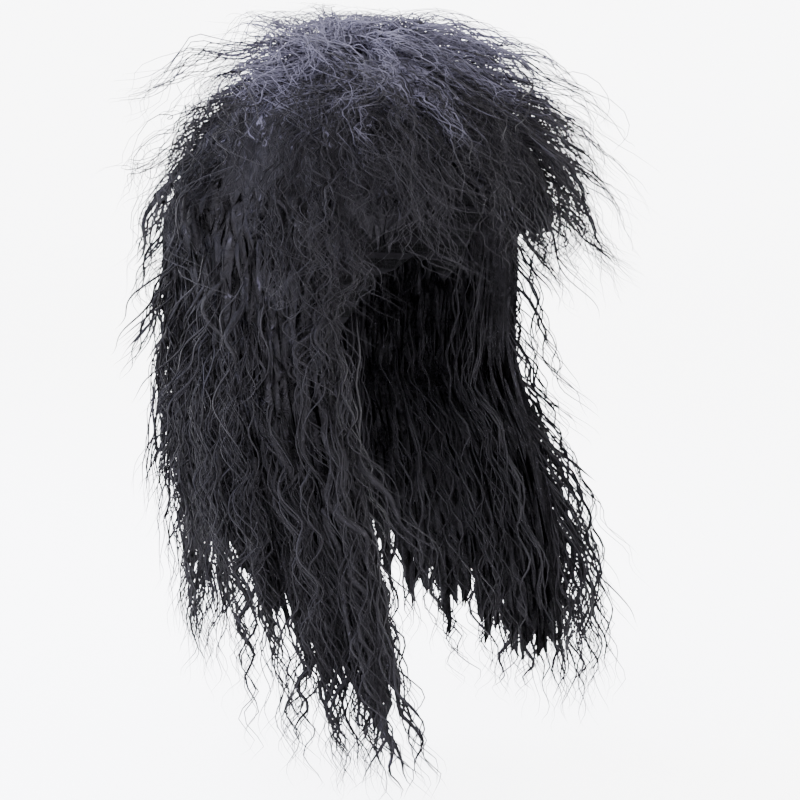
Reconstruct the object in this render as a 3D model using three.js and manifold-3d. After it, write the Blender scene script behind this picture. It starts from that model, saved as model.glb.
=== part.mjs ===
// A shaggy black mullet wig: a stretch cap that carries five separately sewn sections of crimped hair.
// Millimetres, +Z up. The wearer looks along -Y, and +X is the wearer's left.
// The origin is the inside of the cap at the crown, where it rests on the top of the head.
import * as THREE from "three";
import Module from "manifold-3d";
import { mergeVertices } from "three/addons/utils/BufferGeometryUtils.js";

const wasm = await Module();
wasm.setup();

// The head that the cap fits: 555 mm round, and 94 mm from its crown down to its widest level.
const HEAD_HALF_WIDTH = 77;
const HEAD_HALF_LENGTH = 98;
const HEAD_DOME = 94;
// Below the widest level the head narrows as an ellipse of this depth would.
const HEAD_TAPER = 165;

const CAP_WALL = 1.6;
const CAP_NAPE_DROP = 176;
const SEAM_GAP = 1.2; // between the cap and the hair sewn over it, at the corners of their flat faces
const PART_GAP = 1.2; // between two hair sections

// How far the combed-out hair stands from the head on each side, at the crown and at the widest level.
const HAIR_TOP = 30;
const HAIR_SIDE = 45;
const HAIR_BACK = 27;
const HAIR_FRONT = 48;

const HANG_LENGTH = 312; // from the head's widest level down to the longest tips
const FORWARD_SWAY = 50; // how far the hair beside the face falls forward, over the chest
const SWAY_FADE = { from: 85, to: 155 }; // the azimuths between which that sway dies away

const LOCK_WIDTH = 27;
const LOCK_THICKNESS = 15;
const LOCK_WAVE = 5; // how far a lock's wave swings to each side
const CURTAIN_WAVE = 8; // how far the free pleats of a curtain swing to each side
const WAVE_LENGTH = 92;
const WAVE_DRIFT = 0.7; // how much later, in radians, each column of a curtain swings than the one before

const SLIVER = 0.1; // edges of the cut hair that are shorter than this are merged away
const CAP_ROWS = 7;
const COLUMN_STEP = 10; // degrees between two columns of the cap and of the cuts between the sections
const ROW_FALL = 0.085; // the height of a row in the sewn part of a curtain, as a fall
const FREE_ROW_FALL = 0.17; // the same in its free part
const STATION_STEP = 27; // distance between two sections of a lock

// The cap's edge: how far it lies below the crown, as a share of CAP_NAPE_DROP, from the forehead at 0
// degrees, past the temple and the tab before the ear, over the ear, and down to the nape at 180.
const CAP_EDGE = [
  { azimuth: 0, drop: 0.3 },
  { azimuth: 38, drop: 0.34 },
  { azimuth: 60, drop: 0.5 },
  { azimuth: 78, drop: 0.7 },
  { azimuth: 96, drop: 0.6 },
  { azimuth: 116, drop: 0.68 },
  { azimuth: 142, drop: 0.93 },
  { azimuth: 180, drop: 1 },
];

// Sections of the hanging hair's outer face. drop is a share of HANG_LENGTH below the widest level, and side
// and length are shares of the combed-out hair's half width and half length there. swayRight and swayLeft are
// the shares of FORWARD_SWAY by which the hair on each side has fallen forward.
const HANG_SECTIONS = [
  { drop: 0, side: 1, length: 1, swayRight: 0, swayLeft: 0 },
  { drop: 0.12, side: 0.99, length: 1.05, swayRight: 0, swayLeft: 0 },
  { drop: 0.28, side: 0.97, length: 1.08, swayRight: 0.07, swayLeft: 0.12 },
  { drop: 0.43, side: 0.94, length: 1.04, swayRight: 0.3, swayLeft: 0.6 },
  { drop: 0.56, side: 0.93, length: 0.96, swayRight: 0.52, swayLeft: 0.86 },
  { drop: 0.7, side: 0.92, length: 0.88, swayRight: 0.75, swayLeft: 1.07 },
  { drop: 0.85, side: 0.9, length: 0.8, swayRight: 0.95, swayLeft: 1.16 },
  { drop: 1, side: 0.84, length: 0.74, swayRight: 1.05, swayLeft: 1.18 },
];

// Places in the hair are given by azimuth, fall and depth. An azimuth is counted in degrees from the face to
// the wearer's left. A fall of 0 is the crown, 1 the head's widest level and 2 the longest tips. A depth of 0
// is the hair's inner face and 1 its full outer face.
const FACE_EDGE = 50; // the azimuth where the fringe ends and the side hair begins
const EAR_EDGE = 130; // the azimuth where the side hair ends and the back hair begins
const BROW_FALL = 0.72; // where the fringe leaves the cap
const NAPE_FALL = 1 + (CAP_NAPE_DROP - HEAD_DOME) / HANG_LENGTH; // where the back hair leaves the cap

// The crown's hair is sewn on above CROWN_EDGE. It reaches over the other sections down to CROWN_REACH and lies
// outside the depth CROWN_SHELF there. Its hem is cut off over the fall HEM_SLOPE.
const CROWN_EDGE = 0.34;
const CROWN_REACH = 0.82;
const CROWN_SHELF = 0.52;
const HEM_SLOPE = 0.02;
const SHELF_ROWS = [0.46, 0.58, 0.7];

// Each section is a pleated curtain that starts at the fall "top". Its pleats share their falls down to "sewn",
// where it leaves the cap or what lies under it. From there its grooves go on to "bottom" and its ridges to
// "tips". Its outer face lies at the depth "thin", swells to the depth "thick" between the falls swellFrom and
// swellTo, and reaches the depth "flick" at its tips.
const SEWN_UNDER_CROWN = { top: CROWN_EDGE, swellFrom: 0.8, swellTo: 1.05, thin: 0.35 };
const HANGING = { ...SEWN_UNDER_CROWN, sewn: NAPE_FALL, thick: 0.8, flick: 0.85 };
const CURTAINS = {
  crown_hair: { top: 0, sewn: CROWN_EDGE, swellFrom: 0, swellTo: 0.3, thin: 0.95, thick: 0.95, flick: 1.3 },
  fringe_hair: { ...SEWN_UNDER_CROWN, sewn: BROW_FALL, thick: 0.72, flick: 1 },
  right_side_hair: HANGING,
  left_side_hair: HANGING,
  back_hair: HANGING,
};
const SECTIONS = [
  { name: "crown_hair", from: -180, to: 180, pleats: 16, bottom: 0.62, tips: 0.78 },
  { name: "fringe_hair", from: -FACE_EDGE, to: FACE_EDGE, pleats: 7, bottom: 0.93, tips: 1.08 },
  { name: "right_side_hair", from: -EAR_EDGE, to: -FACE_EDGE, pleats: 5, bottom: 1.74, tips: 1.96 },
  { name: "left_side_hair", from: FACE_EDGE, to: EAR_EDGE, pleats: 5, bottom: 1.74, tips: 1.95 },
  { name: "back_hair", from: EAR_EDGE, to: 360 - EAR_EDGE, pleats: 7, bottom: 1.68, tips: 1.88 },
].map((row) => ({ ...row, ...CURTAINS[row.name] }));

const RIDGE = 0.14; // how far the ridges of a full curtain stand out and its grooves lie in, as a depth
const TIP_DEPTH = 0.12; // the thickness of a pleat's tip, as a depth
const TIP_SPREAD = 0.05; // how far a pleat ends above or below the fall in its section's row
const PLEAT_THINNING = 2; // the power by which a free pleat thins out: the higher, the closer to its tip
const SWING_START = 0.3; // the share of a pleat's free length, or of a lock, over which its wave grows

// Rows of locks. Each row spreads its locks over its section's width. root and tip are falls, depth is where
// the lock's middle lies, flick is the depth that its tip reaches, and width is a share of LOCK_WIDTH.
const LOCK_ROWS = [
  { section: "crown_hair", locks: 7, root: 0.06, tip: 0.36, depth: 1.05, flick: 1.5, width: 0.8 },
  { section: "crown_hair", locks: 13, root: 0.2, tip: 0.64, depth: 1.02, flick: 1.4, width: 0.9 },
  { section: "fringe_hair", locks: 5, root: 0.5, tip: 1.04, depth: 0.5, flick: 1.15, width: 0.85 },
  { section: "right_side_hair", locks: 4, root: 0.62, tip: 1.44, depth: 0.92, flick: 1.2, width: 1 },
  { section: "right_side_hair", locks: 3, root: 1.3, tip: 1.86, depth: 0.9, flick: 1.1, width: 1 },
  { section: "left_side_hair", locks: 4, root: 0.62, tip: 1.44, depth: 0.92, flick: 1.2, width: 1 },
  { section: "left_side_hair", locks: 3, root: 1.3, tip: 1.86, depth: 0.9, flick: 1.1, width: 1 },
  { section: "back_hair", locks: 6, root: 0.62, tip: 1.44, depth: 0.92, flick: 1.15, width: 1 },
  { section: "back_hair", locks: 5, root: 1.26, tip: 1.78, depth: 0.9, flick: 1.1, width: 1 },
];
const LOCK_ROOT_DEPTH = 0.3; // the depth at which the locks below the crown's leave their curtain
const LOCK_RISE = { from: 0.78, to: 1.1 }; // the falls between which they rise to their own depth
const CROWN_LOCK_RISE = 0.3; // the share of its length over which a lock on the crown does
const LOCK_BELLY = 0.33; // the share of a lock's length where it is widest
const LOCK_ROOT_SIZE = 0.7; // the size of its root, as a share of its full size

const MOST_LOCKS = 40; // more than any row of locks has, so that each lock has a number of its own
const TIP_VARIATION = 0.05; // how far a lock's tip lies above or below its row's fall
const FLICK_VARIATION = 0.15; // how far the depth of a lock's tip lies from its row's
const TURN_VARIATION = 0.2; // how far a lock on the crown lies from its even place, as a share of the pitch

const HAIR = { color: "#17161b", roughness: 0.5, metalness: 0 };
const CAP_NET = { color: "#1d1c20", roughness: 0.9, metalness: 0 };

const { lerp, smoothstep, clamp, degToRad, radToDeg } = THREE.MathUtils;

// A table's column at a place between two of its rows, eased so that it has no corner at a row.
function fromTable(table, key, column, at) {
  const next = clamp(
    table.findIndex((row) => row[key] >= at),
    1,
    table.length - 1,
  );
  const [before, after] = [table[next - 1], table[next]];
  return lerp(before[column], after[column], smoothstep(at, before[key], after[key]));
}

// A repeatable number from -1 to 1 for each lock and each use.
function chance(index, use) {
  const wide = Math.sin(index * 12.9898 + use * 78.233) * 43758.5453;
  return 2 * (wide - Math.floor(wide)) - 1;
}

// The point of an ellipse in the direction of an azimuth.
function ellipsePoint(azimuth, halfWidth, halfLength) {
  const angle = degToRad(azimuth);
  const radius = 1 / Math.hypot(Math.sin(angle) / halfWidth, Math.cos(angle) / halfLength);
  return new THREE.Vector2(Math.sin(angle) * radius, -Math.cos(angle) * radius);
}

// A point at a distance outside the head, by azimuth and by the angle from the crown: 90 is the widest level.
function headPoint(azimuth, angle, offset) {
  const turn = degToRad(angle);
  const flat = ellipsePoint(azimuth, HEAD_HALF_WIDTH + offset, HEAD_HALF_LENGTH + offset);
  const rise = (angle < 90 ? HEAD_DOME + offset : HEAD_TAPER) * Math.cos(turn);
  return new THREE.Vector3(flat.x * Math.sin(turn), flat.y * Math.sin(turn), rise - HEAD_DOME);
}

// The angle from the crown at which the head lies a given drop below it.
function angleAtDrop(drop) {
  const below = drop - HEAD_DOME;
  return radToDeg(below < 0 ? Math.acos(-below / HEAD_DOME) : Math.PI / 2 + Math.asin(below / HEAD_TAPER));
}

// A point in the hair, by azimuth, fall and depth. Its inner face follows the cap as far down as the nape and
// then hangs straight. Its outer face follows the dome of combed-out hair and then the hanging sections.
function hairPoint(azimuth, fall, depth) {
  const round = azimuth > 180 ? azimuth - 360 : azimuth;
  const below = Math.max(0, fall - 1) * HANG_LENGTH;
  const section = (column) => fromTable(HANG_SECTIONS, "drop", column, Math.max(0, fall - 1));
  const angle = fall < 1 ? 90 * fall : angleAtDrop(Math.min(HEAD_DOME + below, CAP_NAPE_DROP));
  const inner = headPoint(round, angle, CAP_WALL + SEAM_GAP);
  if (fall >= 1) inner.z = -HEAD_DOME - below;
  const towardsFace = Math.max(0, Math.cos(degToRad(round))) ** 2;
  const flat = ellipsePoint(
    round,
    (HEAD_HALF_WIDTH + HAIR_SIDE) * section("side"),
    (HEAD_HALF_LENGTH + lerp(HAIR_BACK, HAIR_FRONT, towardsFace)) * section("length"),
  );
  const turn = degToRad(90 * Math.min(fall, 1));
  const rise = (HEAD_DOME + HAIR_TOP) * Math.cos(turn) - HEAD_DOME - below;
  const outer = new THREE.Vector3(flat.x * Math.sin(turn), flat.y * Math.sin(turn), rise);
  const point = inner.lerp(outer, depth);
  const beside = 1 - smoothstep(Math.abs(round), SWAY_FADE.from, SWAY_FADE.to);
  point.y -= FORWARD_SWAY * section(round < 0 ? "swayRight" : "swayLeft") * beside;
  return point;
}

// Evenly spaced numbers from one end to the other, with steps of about the given size.
function spaced(from, to, step) {
  const count = Math.max(1, Math.round((to - from) / step));
  return Array.from({ length: count + 1 }, (_, i) => lerp(from, to, i / count));
}

// A closed solid from triangles whose corners coincide. Triangles that have shrunk to a line are left out.
function solidFrom(triangles) {
  const whole = triangles.filter(([a, b, c]) => !a.equals(b) && !b.equals(c) && !c.equals(a));
  const loose = new THREE.BufferGeometry().setFromPoints(whole.flat());
  const merged = mergeVertices(loose, 1e-4);
  const mesh = new wasm.Mesh({
    numProp: 3,
    vertProperties: merged.attributes.position.array,
    triVerts: new Uint32Array(merged.index.array),
  });
  return new wasm.Manifold(mesh);
}

const quad = (a, b, c, d) => [
  [a, b, c],
  [a, c, d],
];

// A wall between an inner and an outer face, each a function of column and row. Where its columns go all the
// way round it has no ends. A dome's first row is the crown's single point, so it has no upper edge either.
function wall(columns, rows, inner, outer, isDome = false) {
  const points = (face) => columns.map((column) => rows.map((row) => face(column, row)));
  const [ins, outs] = [points(inner), points(outer)];
  const wraps = isDome || columns.at(-1) - columns[0] === 360;
  if (wraps) [ins, outs].forEach((face) => face.splice(-1, 1, face[0]));
  const [lastColumn, lastRow] = [columns.length - 1, rows.length - 1];
  const triangles = [];
  for (let i = 0; i < lastColumn; i++) {
    for (let j = 0; j < lastRow; j++) {
      triangles.push(...quad(outs[i][j], outs[i][j + 1], outs[i + 1][j + 1], outs[i + 1][j]));
      triangles.push(...quad(ins[i][j], ins[i + 1][j], ins[i + 1][j + 1], ins[i][j + 1]));
    }
    triangles.push(...quad(outs[i][lastRow], ins[i][lastRow], ins[i + 1][lastRow], outs[i + 1][lastRow]));
    if (!isDome) triangles.push(...quad(outs[i][0], outs[i + 1][0], ins[i + 1][0], ins[i][0]));
  }
  for (let j = 0; j < lastRow && !wraps; j++) {
    triangles.push(...quad(outs[0][j], ins[0][j], ins[0][j + 1], outs[0][j + 1]));
    const end = lastColumn;
    triangles.push(...quad(outs[end][j], outs[end][j + 1], ins[end][j + 1], ins[end][j]));
  }
  return solidFrom(triangles);
}

// A lock: a three-cornered section carried along a path, with a belly and a pointed tip.
function lock(path, halfWidth, thickness) {
  const last = path.length - 1;
  const rings = path.map(({ point, sideways }, i) => {
    const along = path[Math.min(i + 1, last)].point.clone().sub(path[Math.max(i - 1, 0)].point).normalize();
    const side = sideways.clone().addScaledVector(along, -sideways.dot(along)).normalize();
    const out = side.clone().cross(along);
    const share = i / last;
    const size =
      share < LOCK_BELLY
        ? lerp(LOCK_ROOT_SIZE, 1, share / LOCK_BELLY)
        : Math.sqrt(Math.max(0, (1 - share) / (1 - LOCK_BELLY)));
    const [wide, high] = [halfWidth * size, thickness * size];
    const corner = (across, outwards) => point.clone().addScaledVector(side, across).addScaledVector(out, outwards);
    return [corner(-wide, -high / 3), corner(wide, -high / 3), corner(0, (high * 2) / 3)];
  });
  const triangles = [rings[0]];
  for (let i = 0; i < last; i++) {
    for (let k = 0; k < 3; k++) {
      const next = (k + 1) % 3;
      triangles.push(...quad(rings[i][k], rings[i + 1][k], rings[i + 1][next], rings[i][next]));
    }
  }
  return solidFrom(triangles);
}

// How deep in the hair a lock lies along its way. The crown's locks rise at once; the others stay under the
// crown's hair until they have passed it.
function depthAlong(row, fall, share) {
  const onCrown = row.section === "crown_hair";
  const rise = onCrown
    ? smoothstep(share, -CROWN_LOCK_RISE, CROWN_LOCK_RISE)
    : smoothstep(fall, LOCK_RISE.from, LOCK_RISE.to);
  return lerp(LOCK_ROOT_DEPTH, row.depth, rise) + (row.flick - row.depth) * share ** 3;
}

// The locks of one row, each with its own place, length and wave.
function locksOf(row, rowIndex) {
  const { from, to } = SECTIONS.find(({ name }) => name === row.section);
  const halfWidth = (LOCK_WIDTH * row.width) / 2;
  const wraps = to - from === 360;
  const root = hairPoint((from + to) / 2, row.root, row.depth);
  const margin = wraps ? 0 : radToDeg((halfWidth + LOCK_WAVE / 2) / Math.hypot(root.x, root.y));
  const pitch = (to - from - 2 * margin) / (wraps ? row.locks : row.locks - 1);
  return Array.from({ length: row.locks }, (_, i) => {
    const index = rowIndex * MOST_LOCKS + i;
    const azimuth = from + margin + pitch * (i + (wraps ? TURN_VARIATION * chance(index, 1) : 0));
    const tip = row.tip + TIP_VARIATION * chance(index, 2);
    const varied = { ...row, flick: row.flick + FLICK_VARIATION * chance(index, 3) };
    const centre = (share) => {
      const fall = lerp(row.root, tip, share);
      return hairPoint(azimuth, fall, depthAlong(varied, fall, share));
    };
    const rough = spaced(0, 1, 0.1).map(centre);
    const length = rough.slice(1).reduce((sum, point, k) => sum + point.distanceTo(rough[k]), 0);
    const sideways = new THREE.Vector3(Math.cos(degToRad(azimuth)), Math.sin(degToRad(azimuth)), 0);
    const path = spaced(0, 1, STATION_STEP / length).map((share) => {
      const swing = Math.sin(2 * Math.PI * ((length * share) / WAVE_LENGTH + chance(index, 4)));
      const aside = LOCK_WAVE * swing * smoothstep(share, 0, SWING_START);
      return { point: centre(share).addScaledVector(sideways, aside), sideways };
    });
    return lock(path, halfWidth, LOCK_THICKNESS);
  });
}

// Half of PART_GAP as a share of the fall, as a share of the depth, and as an azimuth beside the head.
const GAP_FALL = PART_GAP / 2 / HEAD_DOME;
const GAP_DEPTH = PART_GAP / 2 / HAIR_SIDE;
const GAP_TURN = radToDeg(PART_GAP / 2 / HEAD_HALF_WIDTH);

// Depths and a fall that lie safely outside all hair, where the cuts between the sections end.
const WELL_INSIDE = -0.4;
const WELL_OUTSIDE = 4;
const WELL_BELOW = 2.2;

// The room that one section below the crown's may fill. Neighbours' rooms keep PART_GAP between them, and each
// stays inside the shelf as far down as the crown's hair reaches.
function roomOf({ from, to }) {
  const columns = [from + GAP_TURN, ...spaced(from, to, COLUMN_STEP).slice(1, -1), to - GAP_TURN];
  const hem = [CROWN_REACH, CROWN_REACH + HEM_SLOPE];
  const rows = [CROWN_EDGE + GAP_FALL, ...SHELF_ROWS, ...hem, ...spaced(1, WELL_BELOW, FREE_ROW_FALL)];
  const innerFace = (azimuth, fall) => hairPoint(azimuth, fall, WELL_INSIDE);
  const outerFace = (azimuth, fall) =>
    hairPoint(azimuth, fall, fall > CROWN_REACH ? WELL_OUTSIDE : CROWN_SHELF - GAP_DEPTH);
  return wall(columns, rows, innerFace, outerFace);
}

// What lies under the crown's hair and below it, and is cut away from it.
function underCrown() {
  const hem = [CROWN_REACH - HEM_SLOPE, CROWN_REACH];
  const rows = [CROWN_EDGE - GAP_FALL, ...SHELF_ROWS, ...hem, 1, NAPE_FALL];
  const innerFace = (azimuth, fall) => hairPoint(azimuth, fall, WELL_INSIDE);
  const outerFace = (azimuth, fall) =>
    hairPoint(azimuth, fall, fall < CROWN_REACH ? CROWN_SHELF + GAP_DEPTH : WELL_OUTSIDE);
  return wall(spaced(-180, 180, COLUMN_STEP), rows, innerFace, outerFace);
}

// A section's pleated curtain. Its columns lie by turns in a groove and on a ridge, and its rows count from 0
// at the top to 1 where the pleats part and 2 at the column's end.
function curtainOf(section) {
  const { top, sewn, pleats, bottom, tips, thin, thick, flick } = section;
  const wraps = section.to - section.from === 360;
  const margin = wraps ? 0 : 2 * GAP_TURN;
  const start = top === 0 ? 0 : top + 2 * GAP_FALL;
  const lastColumn = 2 * pleats;
  const isRidge = (column) => column % 2 === 1;
  const place = (column, row) => {
    const end = (isRidge(column) ? tips : bottom) + TIP_SPREAD * chance(column % lastColumn, section.from);
    const fall = row < 1 ? lerp(start, sewn, row) : lerp(sewn, end, row - 1);
    const swing = Math.sin((2 * Math.PI * (fall - sewn) * HANG_LENGTH) / WAVE_LENGTH + column * WAVE_DRIFT);
    const free = wraps || column === 0 || column === lastColumn ? 0 : smoothstep(row, 1, 1 + SWING_START);
    const turn = radToDeg((CURTAIN_WAVE * swing * free) / (HEAD_HALF_WIDTH + HAIR_SIDE));
    const azimuth = lerp(section.from + margin, section.to - margin, column / lastColumn) + turn;
    return { azimuth, fall, thinning: Math.max(0, row - 1) ** PLEAT_THINNING };
  };
  const innerFace = (column, row) => {
    const { azimuth, fall, thinning } = place(column, row);
    return hairPoint(azimuth, fall, lerp(0, flick - TIP_DEPTH, thinning));
  };
  const outerFace = (column, row) => {
    const { azimuth, fall, thinning } = place(column, row);
    const swell = smoothstep(fall, section.swellFrom, section.swellTo);
    const full = lerp(thin, thick + (isRidge(column) ? RIDGE : -RIDGE), swell);
    return hairPoint(azimuth, fall, lerp(full, flick, thinning));
  };
  const sewnRows = spaced(0, 1, ROW_FALL / (sewn - start));
  const freeRows = spaced(1, 2, FREE_ROW_FALL / (tips - sewn));
  return wall(spaced(0, lastColumn, 1), [...sewnRows, ...freeRows.slice(1)], innerFace, outerFace, wraps);
}

// A section's curtain with its locks, cut to its place. Slivers are merged into their neighbours, and a crumb
// that the cut leaves loose is dropped.
function hairSection(section) {
  const locks = LOCK_ROWS.flatMap((row, i) => (row.section === section.name ? locksOf(row, i) : []));
  const whole = wasm.Manifold.union([curtainOf(section), ...locks]);
  const cut = section.name === "crown_hair" ? whole.subtract(underCrown()) : whole.intersect(roomOf(section));
  return cut.simplify(SLIVER).decompose().sort((a, b) => b.volume() - a.volume())[0];
}

function wigCap() {
  const edgeAngle = (azimuth) =>
    angleAtDrop(CAP_NAPE_DROP * fromTable(CAP_EDGE, "azimuth", "drop", Math.abs(azimuth)));
  const face = (offset) => (azimuth, share) => headPoint(azimuth, edgeAngle(azimuth) * share, offset);
  const rows = spaced(0, 1, 1 / CAP_ROWS);
  return wall(spaced(-180, 180, COLUMN_STEP), rows, face(0), face(CAP_WALL), true);
}

function meshOf(name, solid, look) {
  const { vertProperties, triVerts } = solid.getMesh();
  const geometry = new THREE.BufferGeometry()
    .setAttribute("position", new THREE.BufferAttribute(new Float32Array(vertProperties), 3))
    .setIndex(new THREE.BufferAttribute(new Uint32Array(triVerts), 1));
  geometry.computeVertexNormals();
  const mesh = new THREE.Mesh(geometry, new THREE.MeshStandardMaterial(look));
  mesh.name = name;
  return mesh;
}

const wig = new THREE.Group();
wig.add(meshOf("wig_cap", wigCap(), CAP_NET));
for (const section of SECTIONS) wig.add(meshOf(section.name, hairSection(section), HAIR));

export default wig;
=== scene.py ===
"""A shaggy black mullet wig of crimped synthetic hair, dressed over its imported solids. The solids are in
metres, +Z up. The wearer looks along -Y, and +X is the wearer's left. Sizes here are in millimetres until a
mesh is made. Each section of hair is built of three things: a mass, which is the closed wall of its packed
hair; locks, which are tapered bodies of hair lying on the mass; and strands, which follow the locks, stand
out of them and hang below them."""

import math

import bpy
import numpy as np
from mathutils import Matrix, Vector


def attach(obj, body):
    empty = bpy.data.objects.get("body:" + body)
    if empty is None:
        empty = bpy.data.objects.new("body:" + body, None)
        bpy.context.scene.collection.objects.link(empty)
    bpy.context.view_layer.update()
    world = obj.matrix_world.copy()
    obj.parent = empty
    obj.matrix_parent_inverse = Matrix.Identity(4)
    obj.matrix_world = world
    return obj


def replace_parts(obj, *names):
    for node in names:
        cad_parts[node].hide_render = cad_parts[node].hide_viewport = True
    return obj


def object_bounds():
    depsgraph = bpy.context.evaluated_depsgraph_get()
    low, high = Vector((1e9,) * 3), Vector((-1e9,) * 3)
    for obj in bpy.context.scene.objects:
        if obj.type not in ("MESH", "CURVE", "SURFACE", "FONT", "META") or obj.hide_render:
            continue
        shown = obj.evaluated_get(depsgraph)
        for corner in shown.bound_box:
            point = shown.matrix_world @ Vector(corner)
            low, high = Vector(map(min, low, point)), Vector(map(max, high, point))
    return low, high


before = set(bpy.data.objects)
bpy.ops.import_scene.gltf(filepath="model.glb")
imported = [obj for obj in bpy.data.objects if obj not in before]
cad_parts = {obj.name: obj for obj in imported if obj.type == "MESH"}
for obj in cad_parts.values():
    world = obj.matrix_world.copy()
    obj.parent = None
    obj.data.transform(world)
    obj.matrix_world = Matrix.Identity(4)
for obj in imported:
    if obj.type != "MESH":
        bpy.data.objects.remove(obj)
SOLIDS_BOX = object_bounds()
MM = 0.001

# The head and the hair's form, as in the solids.
HEAD_HALF_WIDTH, HEAD_HALF_LENGTH, HEAD_DOME, HEAD_TAPER = 77, 98, 94, 165
CAP_WALL, CAP_NAPE_DROP, SEAM_GAP = 1.6, 176, 1.2
HAIR_TOP, HAIR_SIDE, HAIR_BACK, HAIR_FRONT = 30, 45, 27, 48
HANG_LENGTH, FORWARD_SWAY, SWAY_FADE = 312, 50, (85, 155)
HANG_SECTIONS = {
    "drop": [0, 0.12, 0.28, 0.43, 0.56, 0.7, 0.85, 1],
    "side": [1, 0.99, 0.97, 0.94, 0.93, 0.92, 0.9, 0.84],
    "length": [1, 1.05, 1.08, 1.04, 0.96, 0.88, 0.8, 0.74],
    "sway_right": [0, 0, 0.07, 0.3, 0.52, 0.75, 0.95, 1.05],
    "sway_left": [0, 0, 0.12, 0.6, 0.86, 1.07, 1.16, 1.18],
}
DOME_ARC = 165  # the hair's length from the crown to the widest level, along the outer face

# The fall at which the hair ends, round the head: the body of the long hair, its last wisps, the fringe's
# wisps and the crown's. The long hair is longest beside the face and shortest behind the right ear.
HAIR_ENDS = {
    "azimuth": [-180, -150, -125, -100, -80, -60, -40, -22, 0, 30, 55, 80, 110, 140, 180],
    "body": [1.68, 1.62, 1.64, 1.8, 1.92, 1.98, 1.98, 1.95, 1.95, 1.95, 1.87, 1.96, 1.94, 1.76, 1.68],
    "wisps": [1.88, 1.84, 1.87, 1.97, 2.02, 2.04, 2.04, 2.02, 2, 2.02, 1.97, 2.04, 2.03, 1.93, 1.88],
    "fringe": [1.1, 1.1, 1.1, 1.1, 1.16, 1.23, 1.11, 0.99, 1.0, 1.06, 1.12, 1.1, 1.1, 1.1, 1.1],
    "crown": [1.1, 1.1, 1.1, 1.1, 1.08, 1.05, 1.0, 0.95, 0.97, 1.0, 1.05, 1.08, 1.1, 1.1, 1.1],
}
STRAND_PITCH = 2.1  # mm of hair across for each degree round the head, in the strands' own pattern
PATTERN_STEP = 53.0  # mm in that pattern from one lock or strand to the next
PROUD_SHARE, PROUD_REACH, PROUD_EASE = 0.03, 8.5, 14  # how far hair stands proud of the solids' box
RIDGE_SWING, RIDGE_WAVE, FACE_FADE = 2.8, 31, 11  # mm, mm and degrees
BODY_SEED, STRAND_SEED = 500, 900  # added to a set's seed
BODY_HEIGHT, STRAND_HEIGHT = 0.3, 0.8  # the half height of a section over its half width
LOOP_SHARE, CRIMP_GROW = 0.9, 18  # of a circle; mm from the root to the full crimp


def smoothstep(x, low, high):
    t = np.clip((x - low) / (high - low), 0, 1)
    return t * t * (3 - 2 * t)


def lerp(a, b, t):
    return a + (b - a) * t


def unit(v):
    return v / np.maximum(np.linalg.norm(v, axis=-1, keepdims=True), 1e-9)


def wrapped(azimuth):
    return (azimuth + 180) % 360 - 180


def from_table(table, key, column, at):
    """A table's column at a place between two of its rows, eased so that it has no corner at a row."""
    keys, values = np.array(table[key], float), np.array(table[column], float)
    after = np.clip(np.searchsorted(keys, at), 1, len(keys) - 1)
    return lerp(values[after - 1], values[after], smoothstep(at, keys[after - 1], keys[after]))


def ellipse_radius(azimuth, half_width, half_length):
    return 1 / np.hypot(np.sin(azimuth) / half_width, np.cos(azimuth) / half_length)


def hair_point(azimuth, fall, depth):
    """A point in the hair. azimuth is in degrees from the face to the wearer's left; fall is 0 at the
    crown, 1 at the head's widest level and 2 at the longest tips; depth is 0 at the hair's inner face and 1
    at its outer face. The inner face follows the head down to the nape and then hangs straight; the outer
    face is an ellipsoid dome above the widest level and the hanging sections' ellipses below it."""
    azimuth, fall, depth = np.broadcast_arrays(*(np.asarray(x, float) for x in (azimuth, fall, depth)))
    a = np.radians(wrapped(azimuth))
    below = np.maximum(0, fall - 1) * HANG_LENGTH
    drop = np.clip(fall - 1, 0, 1)
    taper = np.arcsin(np.minimum(below, CAP_NAPE_DROP - HEAD_DOME) / HEAD_TAPER)
    turn = np.where(fall < 1, np.pi / 2 * fall, np.pi / 2 + taper)
    offset = CAP_WALL + SEAM_GAP
    reach = ellipse_radius(a, HEAD_HALF_WIDTH + offset, HEAD_HALF_LENGTH + offset) * np.sin(turn)
    height = np.where(fall < 1, (HEAD_DOME + offset) * np.cos(turn) - HEAD_DOME, -HEAD_DOME - below)
    inner = np.stack([np.sin(a) * reach, -np.cos(a) * reach, height], -1)
    towards_face = np.maximum(0, np.cos(a)) ** 2
    half_width = (HEAD_HALF_WIDTH + HAIR_SIDE) * from_table(HANG_SECTIONS, "drop", "side", drop)
    half_length = HEAD_HALF_LENGTH + lerp(HAIR_BACK, HAIR_FRONT, towards_face)
    half_length = half_length * from_table(HANG_SECTIONS, "drop", "length", drop)
    lift = np.pi / 2 * np.minimum(fall, 1)
    reach = ellipse_radius(a, half_width, half_length) * np.sin(lift)
    height = (HEAD_DOME + HAIR_TOP) * np.cos(lift) - HEAD_DOME - below
    outer = np.stack([np.sin(a) * reach, -np.cos(a) * reach, height], -1)
    point = lerp(inner, outer, depth[..., None])
    sway = np.where(
        a < 0,
        from_table(HANG_SECTIONS, "drop", "sway_right", drop),
        from_table(HANG_SECTIONS, "drop", "sway_left", drop),
    )
    point[..., 1] -= FORWARD_SWAY * sway * (1 - smoothstep(np.degrees(np.abs(a)), *SWAY_FADE))
    return point


def outwards(azimuth, fall, depth):
    """The unit direction in which depth grows."""
    return unit(hair_point(azimuth, fall, depth + 0.2) - hair_point(azimuth, fall, depth - 0.2))


def aside_of(azimuth):
    """The level unit direction in which azimuth grows."""
    a = np.radians(azimuth)
    return np.stack([np.cos(a), np.sin(a), np.zeros_like(a)], -1)


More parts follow.
